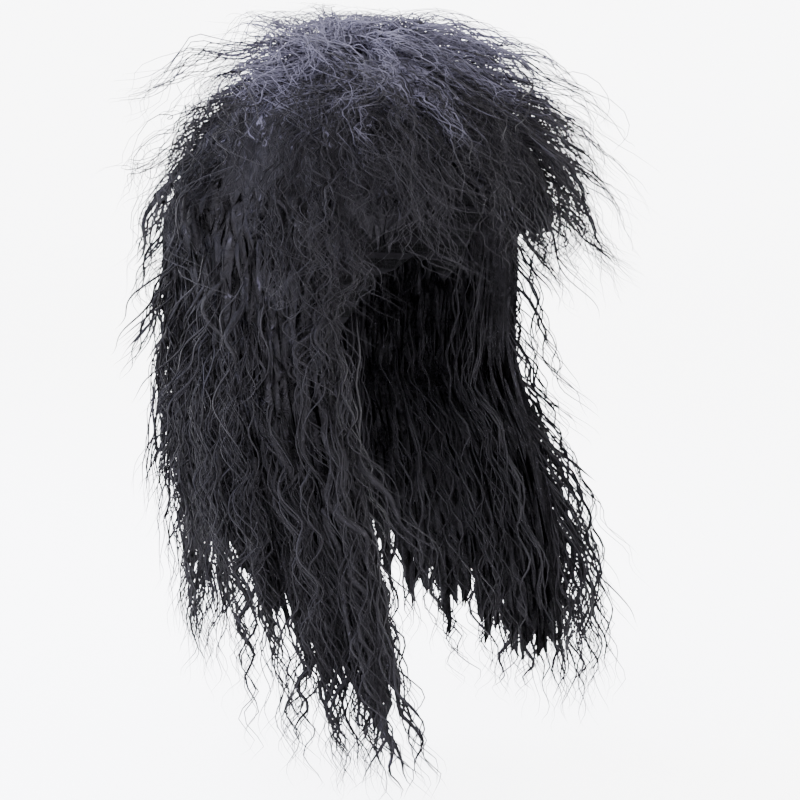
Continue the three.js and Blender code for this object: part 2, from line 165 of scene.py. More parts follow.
def lumps(azimuth, fall):
    """How far, as a depth, the hair bulges or sinks in soft uneven lumps: three sines of mixed slant."""
    a = np.radians(azimuth)
    return 0.045 * (
        np.sin(5 * a + 7 * fall) + np.sin(9 * a - 9 * fall + 1) + 0.8 * np.sin(14 * a + 15 * fall + 2)
    ) * smoothstep(fall, 0, 0.4)


def fall_at(arc):
    """The fall that lies an arc length in mm from the crown: the dome's arc first, then the hanging
    length."""
    return np.where(arc < DOME_ARC, arc / DOME_ARC, 1 + (arc - DOME_ARC) / HANG_LENGTH)


def arc_at(fall):
    return np.where(fall < 1, fall * DOME_ARC, DOME_ARC + (fall - 1) * HANG_LENGTH)


def held_in(points):
    """Points that stray past the space that hair may stand proud of the solids' box, bent back into it.
    Over the last few millimetres the distance past is eased, so that a strand bends along the limit and
    isn't cut off."""
    low, high = (np.array(corner) / MM for corner in SOLIDS_BOX)
    proud = PROUD_SHARE * (high - low) + PROUD_REACH
    for side, limit in ((1, high + proud), (-1, proud - low)):
        start = limit - PROUD_EASE
        past = side * points - start
        eased = start + PROUD_EASE * (1 - np.exp(-past / PROUD_EASE))
        points = np.where(past > 0, side * eased, points)
    return points


def mesh_piece(name, points, triangles, uv, shade, place, material):
    """A closed mesh from points in mm, triangles and one UV pair for each triangle corner. Each point
    carries a shade from 0, dark, to 1, and its place in the hair's pattern: mm across, mm along and mm out
    of the strands."""
    mesh = bpy.data.meshes.new(name)
    mesh.vertices.add(len(points))
    mesh.vertices.foreach_set("co", (held_in(points) * MM).astype(np.float32).ravel())
    mesh.loops.add(triangles.size)
    mesh.loops.foreach_set("vertex_index", triangles.astype(np.int32).ravel())
    mesh.polygons.add(len(triangles))
    mesh.polygons.foreach_set("loop_start", np.arange(0, triangles.size, 3, dtype=np.int32))
    mesh.polygons.foreach_set("use_smooth", np.ones(len(triangles), bool))
    mesh.uv_layers.new(name="OFBake").uv.foreach_set("vector", uv.astype(np.float32).ravel())
    shades = mesh.attributes.new("shade", "FLOAT", "POINT").data
    shades.foreach_set("value", shade.astype(np.float32).ravel())
    places = mesh.attributes.new("place", "FLOAT_VECTOR", "POINT").data
    places.foreach_set("vector", place.astype(np.float32).ravel())
    mesh.update()
    mesh.validate()
    mesh.materials.append(material)
    piece = bpy.data.objects.new(name, mesh)
    bpy.context.scene.collection.objects.link(piece)
    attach(piece, "root")
    return piece


def tapered_tubes(name, centre, wide, high, corners, shade, pattern, material):
    """Many tapered tubes as one mesh. Corner k of ring j is the centre line's point plus the corner's two
    shares of the ring's half width and half height; the last ring shrinks to one point, and a fan closes
    the first. centre, wide and high are (tubes, rings, 3), corners is (corners, 2), and pattern is (tubes,
    rings)."""
    count, rings = centre.shape[:2]
    k = len(corners)
    body, across, up = (x[:, :-1, None] for x in (centre, wide, high))
    points = body + across * corners[:, :1] + up * corners[:, 1:]
    points = np.concatenate([points.reshape(count, -1, 3), centre[:, -1:]], 1)
    each = points.shape[1]
    ring, corner = (x.ravel() for x in np.meshgrid(np.arange(rings - 2), np.arange(k), indexing="ij"))
    after = (corner + 1) % k
    a, b, c, d = k * ring + corner, k * ring + after, k * ring + k + after, k * ring + k + corner
    edge = np.arange(k)
    last = k * (rings - 2)
    tip = np.stack([last + edge, last + (edge + 1) % k, np.full(k, each - 1)], 1)
    fan = np.stack([np.zeros(k - 2, int), edge[2:], edge[1:-1]], 1)
    one = np.concatenate([np.stack([a, b, c], 1), np.stack([a, c, d], 1), tip, fan])
    triangles = (one[None] + each * np.arange(count)[:, None, None]).reshape(-1, 3)

    u_of_corner = np.concatenate([np.tile(np.arange(k) / k, rings - 1), [0.5]])
    v_of_corner = np.concatenate([np.repeat(np.arange(rings - 1), k), [rings - 1]]) / (rings - 1)
    u, v = u_of_corner[one], v_of_corner[one]
    seam = (u.max(1) - u.min(1) > 0.6)[:, None] & (u == 0)
    u = np.where(seam & (v < 1), 1, u)
    columns = max(1, round(math.sqrt(count * 3)))
    rows = -(-count // columns)
    tube = np.arange(count)[:, None, None]
    u = (tube % columns + 0.05 + 0.9 * u) / columns
    v = (tube // columns + 0.02 + 0.96 * v) / rows
    uv = np.stack([u, v], -1)

    half_width = np.linalg.norm(wide, axis=-1)[:, :-1, None] * corners[:, 0]
    half_height = np.linalg.norm(high, axis=-1)[:, :-1, None] * corners[:, 1]
    own = PATTERN_STEP * np.arange(count)[:, None, None]
    along = np.broadcast_to(pattern[:, :-1, None], half_width.shape)
    place = np.stack([half_width + own, along, half_height], -1).reshape(count, -1, 3)
    tip_place = np.stack([own[:, :, 0], pattern[:, -1:], np.zeros((count, 1))], -1)
    place = np.concatenate([place, tip_place], 1)
    shades = np.concatenate([np.repeat(shade[:, :-1], k, 1), shade[:, -1:]], 1)
    uv, place = uv.reshape(-1, 2), place.reshape(-1, 3)
    return mesh_piece(name, points.reshape(-1, 3), triangles, uv, shades, place, material)


def crowded(even, side):
    """Even shares from 0 to 1 drawn towards 1 or, with side -1, towards 0, so that they lie nearly twice as
    close there as at the other end."""
    return even + side * 0.3 * even * (1 - even)


def locks_of(spec):
    """A column of numbers for each lock of a set: where round the head it lies, the arc lengths of its root
    and its tip, its depth, the depth that its tip flicks to, and its slow wave, crimp, drift, curl and loop.
    Tips lie above the end of the hair by a share that is mostly small; a lock that ends high lies on the
    outside and is shorter. A root with an arc below 0 lies beyond the crown, so that its lock crosses
    it."""
    rng = np.random.default_rng(spec["seed"])
    count = spec["locks"]

    def spread(low_high):
        return rng.uniform(*low_high, count)

    even = (np.arange(count) + spread((0.05, 0.95))) / count
    low, high = spec["azimuth"]
    azimuth = lerp(low, high, crowded(even, spec["crowd"]))
    short = lerp(*spec["short"], spread((0, 1)) ** spec["short_power"])
    tip = arc_at(from_table(HAIR_ENDS, "azimuth", spec["ends"], wrapped(azimuth)) - short)
    length = spread(spec["long"]) * lerp(1, spec["layered"], smoothstep(short, 0.15, 0.5))
    calm = lerp(spec["top_flick"], 1, smoothstep(fall_at(tip), 0.2, 0.6))
    calm = calm * lerp(1, spec["low_flick"], smoothstep(fall_at(tip), 0.65, 1.0))
    low, high = spec["depth"]
    lowest = lerp(low, high - 0.22, smoothstep(short, 0.1, 0.4)) if spec["ends"] == "wisps" else low
    columns = dict(
        azimuth=azimuth,
        tip=tip,
        root=np.maximum(tip - length, spec["first"]),
        depth=lerp(lowest, high, spread((0, 1))),
        flick=1 + (lerp(*spec["flick"], spread((0, 1)) ** spec["flick_power"]) - 1) * calm,
        wave=spec["wave"] * spread((0.6, 1.3)),
        wave_length=spread(spec["wave_length"]),
        wave_phase=spread((0, 1)),
        crimp=spec["crimp"] * spread((0.6, 1.3)),
        crimp_length=spread(spec["crimp_length"]),
        crimp_phase=spread((0, 1)),
        drift=rng.normal(0, spec["drift"], count),
        wander=rng.normal(0, spec["wander"], count),
        wander_phase=spread((0, 1)),
        curl=rng.normal(0, spec["curl"], count),
        loop=rng.normal(0, spec["loop"], count),
        shade=np.clip(rng.normal(0.42, 0.12, count), 0, 1),
    )
    return {name: column[:, None] for name, column in columns.items()}


def late(travelled, share, length, phase):
    """How much a wave's turns come late or early: a share of a turn, as a slow sine of the length
    travelled."""
    return share * np.sin(travelled / length + phase * 6)


def line_of(lock, spec, t):
    """The centre line of locks or strands at shares t of their length. It runs from root to tip through the
    hair's own coordinates, rising from the root's depth to its own and flicking at the tip; to that are
    added, across and outwards, a slow wave and a crimp as sines of the length travelled, a drift that grows
    with t to the power 1.6, a wander that is a slow sine, and a curl that bends the last third aside. Over
    its second half it also runs most of the way round a circle that stands upright on the hair."""
    travelled = t * (lock["tip"] - lock["root"])
    turned = 2 * np.pi * LOOP_SHARE * smoothstep(t, 0.5, 1)
    fall = fall_at(lock["root"] + travelled - lock["loop"] * np.sin(turned))
    depth = lerp(spec["root_depth"], lock["depth"], smoothstep(travelled, 0, spec["rise"]))
    azimuth = lock["azimuth"] * np.ones_like(fall)
    depth = depth + (lock["flick"] - lock["depth"]) * t ** spec["bend"]
    depth = depth + lumps(azimuth, fall) * lock["depth"]
    depth = np.maximum(depth, spec["least_depth"])
    aside, out = aside_of(azimuth), outwards(azimuth, fall, depth)
    grow = smoothstep(travelled, 0, spec["wave_grow"]) * (0.6 + 0.8 * t)
    turns = travelled / lock["wave_length"] + lock["wave_phase"]
    turns = turns + late(travelled, 0.15, 33, lock["wander_phase"])
    crimps = travelled / lock["crimp_length"] + lock["crimp_phase"]
    crimps = crimps + late(travelled, 0.12, 17, lock["wave_phase"])
    crimp = lock["crimp"] * smoothstep(travelled, 0, CRIMP_GROW)
    wave = lock["wave"] * grow
    across = wave * np.sin(2 * np.pi * turns) + crimp * np.sin(2 * np.pi * crimps)
    wander = lock["wander"] * np.sin(2 * np.pi * (t + lock["wander_phase"]))
    across = across + lock["drift"] * t**1.6 + t * wander
    across = across + lock["curl"] * smoothstep(t, 0.6, 1) ** 2
    lift = 0.6 * wave * np.cos(2 * np.pi * turns + 1) + 0.8 * crimp * np.cos(2 * np.pi * crimps)
    lift = lift + np.abs(lock["loop"]) * (1 - np.cos(turned))
    point = hair_point(azimuth, fall, depth) + aside * across[..., None] + out * lift[..., None]
    return point, out, travelled


def frame_of(point, out, roll):
    """Unit directions across and out of a line, turned about it by the roll."""
    along = unit(np.gradient(point, axis=1))
    across = unit(np.cross(along, out))
    facing = np.cross(across, along)
    c, s = np.cos(roll)[..., None], np.sin(roll)[..., None]
    return across * c + facing * s, facing * c - across * s


def top_light(fall):
    """How much paler the hair looks towards the crown, where it stands loose and light comes through it."""
    return 0.5 * (1 - smoothstep(fall, 0.15, 0.9))


def lock_bodies(name, spec, material):
    """The bodies of a set's locks, which end a little above the tips of their strands: tubes whose half
    width swells from the root, stays, and thins out to the tip, 1 - t to the power 2.6, and whose section
    is a flat five-sided oval."""
    lock = locks_of(spec)
    rng = np.random.default_rng(spec["seed"] + BODY_SEED)
    t = np.linspace(0, 1, spec["body_rings"])[None]
    point, out, travelled = line_of(lock, spec, spec["body_share"] * t)
    count = len(point)
    roll = rng.normal(0, 0.3, (count, 1)) + 0.5 * rng.normal(0, 1, (count, 1)) * t
    across, facing = frame_of(point, out, roll)
    width = rng.uniform(*spec["body_width"], (count, 1))
    size = width / 2 * (0.5 + 0.5 * smoothstep(t, 0, 0.3)) * (1 - t**2.6) ** 0.9
    angle = 2 * np.pi * (np.arange(5) + 0.25) / 5
    corners = np.stack([np.cos(angle), np.sin(angle)], 1)
    # Painted light: the bodies are painted paler towards the crown by top_light.
    shade = 0.12 + 0.6 * lock["shade"] + top_light(fall_at(lock["root"] + travelled))
    return tapered_tubes(
        name,
        point,
        across * size[..., None],
        facing * (BODY_HEIGHT * size)[..., None],
        corners,
        shade,
        travelled,
        material,
    )


def strands(name, spec, material):
    """The strands of a set. Each follows one of the set's locks beside its centre line, nearer to it
    towards the tip by the share "gather", a little longer or shorter, out of step with it and curled
    otherwise. Its section is a triangle, and its width swells from the root and thins out to the tip, 1 - t
    to the power "taper"."""
    locks = locks_of(spec)
    rng = np.random.default_rng(spec["seed"] + STRAND_SEED)
    count = spec["strands"]
    which = rng.integers(0, spec["locks"], count)
    t = np.linspace(0, 1, spec["rings"])[None]

    def normal(size):
        return rng.normal(0, size, (count, 1))

    def spread(low, high):
        return rng.uniform(low, high, (count, 1))

    own = {column: values[which] for column, values in locks.items()}
    step = (spec["azimuth"][1] - spec["azimuth"][0]) / spec["locks"]
    own["root"] = np.maximum(own["root"] + spec["jitter"] * spread(-1, 1), spec["first"])
    own["tip"] = np.maximum(own["tip"] + spec["jitter"] * spread(-1.2, 1), own["root"] + 30)
    own["wave_phase"] = own["wave_phase"] + normal(spec["loose"])
    own["crimp_phase"] = own["crimp_phase"] + normal(2 * spec["loose"])
    own["crimp"] = own["crimp"] * spread(0.5, 1.4)
    own["drift"] = own["drift"] + normal(spec["stray"])
    own["wander"] = own["wander"] + normal(0.6 * spec["stray"])
    own["flick"] = own["flick"] + normal(spec["splay"])
    own["curl"] = own["curl"] + normal(0.7 * spec["curl"])
    own["loop"] = own["loop"] + normal(0.4 * spec["loop"])
    own["depth"] = own["depth"] + normal(spec["depth_jitter"])
    beside = step * spec["bundle"] * normal(0.5)
    own["azimuth"] = own["azimuth"] + beside * (1 - spec["gather"] * smoothstep(t, 0.1, 1))
    point, out, travelled = line_of(own, spec, t)

    roll = normal(0.8) + normal(1.2) * t
    across, facing = frame_of(point, out, roll)
    low, high = spec["width"]
    thinned = np.minimum(1, 0.5 + 3 * t) * np.maximum(0.15, 1 - t ** spec["taper"])
    width = lerp(low, high, spread(0, 1) ** 1.8) * thinned
    corners = np.array([[-1, -0.6], [1, -0.6], [0, 1.2]])
    shade = np.clip(0.5 * own["shade"] + 0.5 * rng.normal(0.42, 0.14, (count, 1)), 0.15, 0.55)
    # Painted light: each strand is painted paler towards the crown by top_light, and towards its tip by the
    # share "pale", where light comes through the loose, thin hair.
    shade = shade + top_light(fall_at(own["root"] + travelled)) + spec["pale"] * t
    size = width / 2
    return tapered_tubes(
        name,
        point,
        across * size[..., None],
        facing * (STRAND_HEIGHT * size)[..., None],
        corners,
        shade,
        travelled,
        material,
    )


def uneven(x, seed):
    """A smooth uneven run of numbers from about -1 to 1 with period 1 in x: a sum of sines whose counts of
    turns are whole numbers."""
    rng = np.random.default_rng(seed)
    turns = np.array([2, 3, 5, 8, 13])
    phase = rng.uniform(0, 2 * np.pi, len(turns))
    return (np.sin(2 * np.pi * turns * np.asarray(x)[..., None] + phase) / turns**0.5).sum(-1) / 1.6


def ridges(x):
    """A row of rounded ridges of height 0 to 1, one for each unit of x, with sharp valleys between them."""
    return np.abs(np.cos(np.pi * x))


def hem_of(spec, azimuth, place):
    """The fall at which a mass ends in each of its columns: where the hair of its kind ends, less a share,
    and less a rise between prongs, which are triangles of uneven length."""
    prong = place * spec["prongs"]
    number = np.floor(prong).astype(int) % spec["prongs"]
    long = np.random.default_rng(spec["seed"]).uniform(0.25, 1, spec["prongs"])[number]
    pointed = (1 - np.abs(2 * (prong % 1) - 1)) ** 0.9 * long
    end = from_table(HAIR_ENDS, "azimuth", spec["ends"], wrapped(azimuth)) - spec["short"]
    return end - spec["prong"] * (1 - pointed)


def wall_faces(index, under, ring, open_top):
    """The triangles of a closed wall. index and under number the points of its outer and inner face, column
    by column; strips close its hem, its sides where it is no ring, and its top where it doesn't meet in a
    pole."""

    def quads(a, b, c, d):
        a, b, c, d = (x.ravel() for x in (a, b, c, d))
        return [np.stack([a, b, c], 1), np.stack([a, c, d], 1)]

    faces = quads(index[:-1, :-1], index[:-1, 1:], index[1:, 1:], index[1:, :-1])
    faces += quads(under[:-1, :-1], under[1:, :-1], under[1:, 1:], under[:-1, 1:])
    faces += quads(index[:-1, -1], under[:-1, -1], under[1:, -1], index[1:, -1])
    if open_top:
        faces += quads(index[:-1, 0], index[1:, 0], under[1:, 0], under[:-1, 0])
    if not ring:
        faces += quads(index[0, :-1], under[0, :-1], under[0, 1:], index[0, 1:])
        faces += quads(index[-1, :-1], index[-1, 1:], under[-1, 1:], under[-1, :-1])
    return np.concatenate(faces)


def mass(spec, material):
    """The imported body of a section: a closed wall between its inner and outer face. Two sets of wavy
    ridges, one three times as wide as the other, lie on the outer face and swing from side to side. The
    wall thins out towards its hem, which rises and drops in uneven prongs, and towards its edges beside the
    face."""
    low, high = spec["azimuth"]
    ring = high - low == 360
    columns = np.linspace(low, high, spec["columns"] + 1)
    if ring:
        columns = columns[:-1]
    place = (columns - low) / (high - low)
    rows = np.linspace(0, 1, spec["rows"] + 1)[None]
    fall = lerp(spec["top"], hem_of(spec, columns, place)[:, None], rows)
    azimuth = columns[:, None] * np.ones_like(fall)
    arc = arc_at(fall)
    start = arc_at(np.array(spec["top"]))
    swing = np.sin(2 * np.pi * (arc / RIDGE_WAVE + uneven(place, spec["seed"] + 1)[:, None]))
    free = smoothstep(arc, start, start + 60)
    wide = place[:, None] * spec["ridges"] + 0.4 * uneven(place, spec["seed"] + 2)[:, None]
    relief = 0.6 * ridges(wide + 0.16 * swing) + 0.4 * ridges(3 * wide + 0.45 * swing + arc / 90)

    inner, hem = spec["inner"], spec["thick"] * 0.92
    full = lerp(spec["thin"], spec["thick"], smoothstep(fall, *spec["swell"])) + lumps(azimuth, fall)
    middle = lerp(inner, spec["thick"], 0.55)
    near_face = np.ones_like(columns)
    if spec["face_edges"][0]:
        near_face = near_face * smoothstep(columns, low, low + FACE_FADE)
    if spec["face_edges"][1]:
        near_face = near_face * (1 - smoothstep(columns, high - FACE_FADE, high))
    near_face = np.sqrt(near_face)[:, None]
    outer_depth = lerp(full + spec["relief"] * (relief - 0.6) * free, hem, rows**3)
    inner_depth = lerp(inner + 0.06 * (relief - 0.5) * free, hem - 0.05, rows**3)
    outer_depth = lerp(middle + 0.04, outer_depth, near_face)
    inner_depth = lerp(np.minimum(middle, outer_depth - 0.04), inner_depth, near_face)
    edges = (np.minimum(place, 1 - place) * spec["prongs"] / 1.5).clip(0, 1)[:, None]
    swung = RIDGE_SWING * swing * free * edges
    move = aside_of(azimuth) * (0 if ring else swung[..., None])
    outside = hair_point(azimuth, fall, outer_depth) + move
    inside = hair_point(azimuth, fall, inner_depth) + move

    count, levels = fall.shape
    points = np.concatenate([outside.reshape(-1, 3), inside.reshape(-1, 3)])
    across = azimuth * STRAND_PITCH - RIDGE_SWING * swing
    pattern = np.stack([across, arc, outer_depth * 20], -1).reshape(-1, 3)
    pattern = np.concatenate([pattern, pattern + [0, 0, 200]])
    # Painted light and shade: the packed hair is painted a little paler than the strands, so that the gaps
    # between the locks lying on it don't go black. It is paler still towards the crown, and a little darker
    # on its inner face.
    shade = 0.48 + top_light(fall).ravel()
    shade = np.concatenate([shade, shade - 0.05])
    u = np.concatenate([np.repeat(np.arange(count), levels)] * 2) / count * 0.48
    u[count * levels :] += 0.5
    v = np.concatenate([np.tile(np.arange(levels), count)] * 2) / (levels - 1)

    index = np.arange(count * levels).reshape(count, levels)
    if ring:
        index = np.concatenate([index, index[:1]])
    triangles = wall_faces(index, index + count * levels, ring, spec["top"] > 0)
    uv = np.stack([u, v], 1)[triangles]
    if spec["top"] == 0:
        _, first, same = np.unique(np.round(points, 4), axis=0, return_index=True, return_inverse=True)
        triangles = same.ravel()[triangles]
        real = (triangles != np.roll(triangles, 1, 1)).all(1)
        triangles, uv = triangles[real], uv[real]
        points, pattern, shade = points[first], pattern[first], shade[first]
    return mesh_piece(spec["name"], points, triangles, uv.reshape(-1, 2), shade, pattern, material)


def linear(hex_colour):
    """An sRGB hex colour as linear red, green, blue and alpha."""
    parts = np.array([int(hex_colour[i : i + 2], 16) for i in (1, 3, 5)]) / 255
    return (*np.where(parts <= 0.04045, parts / 12.92, ((parts + 0.055) / 1.055) ** 2.4), 1.0)


def add(tree, kind, settings=None, **links):
    """Adds a node. Settings are attributes or input values, by name or number; links join output sockets to
    inputs, by name or, as in_0, by number."""
    node = tree.nodes.new(kind)
    for key, value in (settings or {}).items():
        if isinstance(key, int) or key in node.inputs:
            node.inputs[key].default_value = value
        else:
            setattr(node, key, value)
    for key, socket in links.items():
        where = int(key[3:]) if key.startswith("in_") else key.replace("_", " ")
        tree.links.new(socket, node.inputs[where])
    return node


def new_material(name):
    material = bpy.data.materials.new(name)
    material.use_nodes = True
    tree = material.node_tree
    tree.nodes.clear()
    return material, tree


def ramp(tree, factor, stops):
    """A colour ramp from a table of positions and sRGB hex colours."""
    node = add(tree, "ShaderNodeValToRGB", {}, Fac=factor)
    elements = node.color_ramp.elements
    while len(elements) < len(stops):
        elements.new(0.5)
    for element, (position, colour) in zip(elements, stops):
        element.position, element.color = position, linear(colour)
    return node.outputs["Color"]


# The black fibre's colour from dark to pale. Its pale blue-grey top end is painted light. The shade reaches
# it only where the painted paleness of the crown and the tips, or the streaks' painted light, adds to it.
BLACK_DYE_AND_PAINTED_LIGHT = [(0.0, "#0f0e10"), (0.4, "#121114"), (0.7, "#18171a"), (1.0, "#535160")]
CRIMP_LENGTH, BUNCH_WIDTH = 10, 1.7  # mm
PATCH_SIZE = 1 / 26  # m


def strand_material():
    """Crimped modacrylic fibre, dyed black. The eye sees near-black strands with a faint sheen along them,
    each a little paler or darker than its neighbour, in soft patches."""
    material, tree = new_material("black_modacrylic_fibre")
    # The shade attribute holds each strand's own tone and painted light: paler towards the crown and towards
    # the tips.
    shade = add(tree, "ShaderNodeAttribute", {"attribute_name": "shade"})
    place = add(tree, "ShaderNodeTexCoord").outputs["Object"]
    patches = add(tree, "ShaderNodeTexNoise", {"Scale": 1 / PATCH_SIZE, "Detail": 3.0}, Vector=place)
    patchy = {"operation": "MULTIPLY_ADD", 1: 0.5, 2: -0.25}
    paler = add(tree, "ShaderNodeMath", patchy, in_0=patches.outputs["Fac"]).outputs[0]
    mixed = add(tree, "ShaderNodeMath", {"operation": "ADD"}, in_0=paler, in_1=shade.outputs["Fac"])
    shader = add(
        tree,
        "ShaderNodeBsdfPrincipled",
        {"Roughness": 0.5, "IOR": 1.5, "Specular IOR Level": 0.05},
        Base_Color=ramp(tree, mixed.outputs[0], BLACK_DYE_AND_PAINTED_LIGHT),
    )
    add(tree, "ShaderNodeOutputMaterial", {}, Surface=shader.outputs[0])
    return material


def packed_material():
    """The same fibre lying close together in locks: fine crimped streaks run along the locks, each dark
    groove a place where light is lost between strands. Real strands are 0.1 mm apart, and are drawn in
    bunches 1.7 mm apart so that they show; their crimp is 10 mm long."""
    material, tree = new_material("packed_modacrylic_fibre")
    place = add(tree, "ShaderNodeAttribute", {"attribute_name": "place"}).outputs["Vector"]
    shade = add(tree, "ShaderNodeAttribute", {"attribute_name": "shade"})
    slow = add(tree, "ShaderNodeMapping", {"Scale": (0.09, 0.03, 0.02)}, Vector=place)
    gentle = {"Scale": 1.0, "Detail": 1.0}
    offset = add(tree, "ShaderNodeTexNoise", gentle, Vector=slow.outputs[0]).outputs["Fac"]
    across, along, out = add(tree, "ShaderNodeSeparateXYZ", {}, Vector=place).outputs
    waved = {"operation": "MULTIPLY", 1: 2 * math.pi / CRIMP_LENGTH}
    turns = add(tree, "ShaderNodeMath", waved, in_0=along)
    shifted = {"operation": "MULTIPLY_ADD", 1: 22.0}
    angle = add(tree, "ShaderNodeMath", shifted, in_0=offset, in_2=turns.outputs[0])
    sine = add(tree, "ShaderNodeMath", {"operation": "SINE"}, in_0=angle.outputs[0]).outputs[0]
    swing = {"operation": "MULTIPLY_ADD", 1: 1.1}
    swung = add(tree, "ShaderNodeMath", swing, in_0=sine, in_2=across).outputs[0]
    crimped = add(tree, "ShaderNodeCombineXYZ", {}, X=swung, Y=along, Z=out).outputs[0]
    lengthways = add(tree, "ShaderNodeMapping", {"Scale": (1 / BUNCH_WIDTH, 0.045, 0.2)}, Vector=crimped)
    noise = {"Scale": 1.0, "Detail": 3.0, "Roughness": 0.65}
    streaks = add(tree, "ShaderNodeTexNoise", noise, Vector=lengthways.outputs[0]).outputs["Fac"]
    # Painted shade and light: the streaks paint the grooves between strands darker and the strands between
    # them paler.
    spread = {"From Min": 0.3, "From Max": 0.68, "To Min": -0.42, "To Max": 0.28}
    paler = add(tree, "ShaderNodeMapRange", spread, Value=streaks).outputs[0]
    mixed = add(tree, "ShaderNodeMath", {"operation": "ADD"}, in_0=paler, in_1=shade.outputs["Fac"])
    bump = add(tree, "ShaderNodeBump", {"Strength": 1.0, "Distance": 0.003}, Height=streaks)
    shader = add(
        tree,
        "ShaderNodeBsdfPrincipled",
        {"Roughness": 0.6, "IOR": 1.5, "Specular IOR Level": 0.04},
        Base_Color=ramp(tree, mixed.outputs[0], BLACK_DYE_AND_PAINTED_LIGHT),
        Normal=bump.outputs[0],
    )
    add(tree, "ShaderNodeOutputMaterial", {}, Surface=shader.outputs[0])
    return material


WEFT_PITCH, NET_PITCH, STITCH_PITCH = 0.011, 0.0025, 1 / 700  # m


def net_material():
    """Black elastic tulle with the hair's wefts sewn on in level rows 11 mm apart. The eye sees dull dark
    bands of close stitches between strips of net. The net's holes are 1 mm apart, and are drawn 2.5 mm
    apart so that they show."""
    material, tree = new_material("black_elastic_net")
    place = add(tree, "ShaderNodeTexCoord").outputs["Object"]
    height = add(tree, "ShaderNodeSeparateXYZ", {}, Vector=place).outputs["Z"]
    pitched = {"operation": "MULTIPLY", 1: 2 * math.pi / WEFT_PITCH}
    row = add(tree, "ShaderNodeMath", pitched, in_0=height)
    wave = add(tree, "ShaderNodeMath", {"operation": "SINE"}, in_0=row.outputs[0]).outputs[0]
    sewn = {"From Min": 0.1, "From Max": 0.5, "To Min": 0.0, "To Max": 1.0}
    weft = add(tree, "ShaderNodeMapRange", sewn, Value=wave).outputs[0]
    upright = add(tree, "ShaderNodeMapping", {"Scale": (1, 1, 0.1)}, Vector=place).outputs[0]
    stitched = {"Scale": 1 / STITCH_PITCH, "Detail": 2.0}
    stitches = add(tree, "ShaderNodeTexNoise", stitched, Vector=upright).outputs["Fac"]
    mesh = {"feature": "DISTANCE_TO_EDGE", "Scale": 1 / NET_PITCH, "Randomness": 0.25}
    cells = add(tree, "ShaderNodeTexVoronoi", mesh, Vector=place).outputs["Distance"]
    thread = {"From Min": 0.02, "From Max": 0.12, "To Min": 0.8, "To Max": 0.0}
    threads = add(tree, "ShaderNodeMapRange", thread, Value=cells).outputs[0]
    clamped = {"operation": "ADD", "use_clamp": True}
    relief = add(tree, "ShaderNodeMath", clamped, in_0=stitches, in_1=weft).outputs[0]
    woven = add(tree, "ShaderNodeMix", {"data_type": "FLOAT"}, in_0=weft, in_2=threads, in_3=relief)
    bump = add(tree, "ShaderNodeBump", {"Strength": 0.9, "Distance": 0.0009}, Height=woven.outputs[0])
    shader = add(
        tree,
        "ShaderNodeBsdfPrincipled",
        {"Roughness": 0.8, "IOR": 1.5, "Specular IOR Level": 0.08},
        Base_Color=ramp(tree, woven.outputs[0], [(0.0, "#050506"), (0.5, "#0b0b0d"), (1.0, "#121114")]),
        Normal=bump.outputs[0],
    )
    add(tree, "ShaderNodeOutputMaterial", {}, Surface=shader.outputs[0])
    return material


STRAND, PACKED, NET = strand_material(), packed_material(), net_material()

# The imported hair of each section. Depths are shares of the hair's thickness, and azimuths are in degrees.
HUNG = dict(
    top=0.34, ends="body", inner=0.04, thin=0.5, thick=0.84, swell=(0.6, 0.92), relief=0.18,
    face_edges=(False, False), prong=0.21, short=0.05, columns=76, rows=68, prongs=38, ridges=13,
)
MASSES = [
    dict(
        HUNG, name="crown_hair_mass", node="crown_hair", seed=1, azimuth=(-180, 180), top=0, ends="crown",
        inner=0.45, thin=0.78, thick=0.8, swell=(0, 0.3), columns=136, rows=30, prongs=68, prong=0.16,
        short=0.12, ridges=50,
    ),
    dict(
        HUNG, name="fringe_hair_mass", node="fringe_hair", seed=2, azimuth=(-58, 58), ends="fringe",
        thick=0.74, relief=0.2, rows=24, prong=0.16, short=0.08, ridges=17,
    ),
    dict(
        HUNG, name="right_side_hair_mass", node="right_side_hair", seed=3, azimuth=(-131, -57),
        face_edges=(False, True),
    ),
    dict(
        HUNG, name="left_side_hair_mass", node="left_side_hair", seed=4, azimuth=(58, 131),
        face_edges=(True, False),
    ),
    dict(
        HUNG, name="back_hair_mass", node="back_hair", seed=5, azimuth=(129, 231), columns=88, rows=62,
        prongs=44, ridges=16,
    ),
]

# The sets of locks and strands. Lengths, widths, drifts and curls are in mm.
LONG = dict(
    ends="wisps", short=(0, 0.95), short_power=1.7, long=(120, 200), layered=0.5, first=3, crowd=0,
    root_depth=0.5, least_depth=0.06, rise=40, depth=(0.45, 0.98), depth_jitter=0.06,
    flick=(0.75, 1.7), flick_power=1.5, top_flick=1, low_flick=1, bend=2.0, splay=0.12,
    wave=3.0, wave_length=(26, 46), wave_grow=40, crimp=0.35, crimp_length=(12, 17),
    drift=11, wander=7, curl=7, loop=0, jitter=16, loose=0.08, stray=5, bundle=1.7, gather=0.78,
    width=(0.5, 1.6), taper=5, rings=32, pale=0.03,
    bodies=True, body_rings=27, body_width=(2, 6), body_share=0.93,
)
SHORT = dict(
    LONG, ends="crown", short=(0, 0.7), short_power=1.0, long=(45, 105), layered=1, first=-50,
    root_depth=0.72, rise=24, depth=(0.84, 1.06),
    flick=(0.95, 1.65), top_flick=0.9, low_flick=0.4, bend=1.0,
    wave=3.3, wave_length=(16, 29), wave_grow=18, crimp=1.1, crimp_length=(8, 13),
    drift=32, wander=14, curl=13, loop=1.6, jitter=10, stray=8, bundle=2.2, gather=0.55,
    width=(0.36, 0.95), taper=4, rings=31, pale=0.1, body_rings=26, body_width=(1.2, 3.4), body_share=0.88,
)
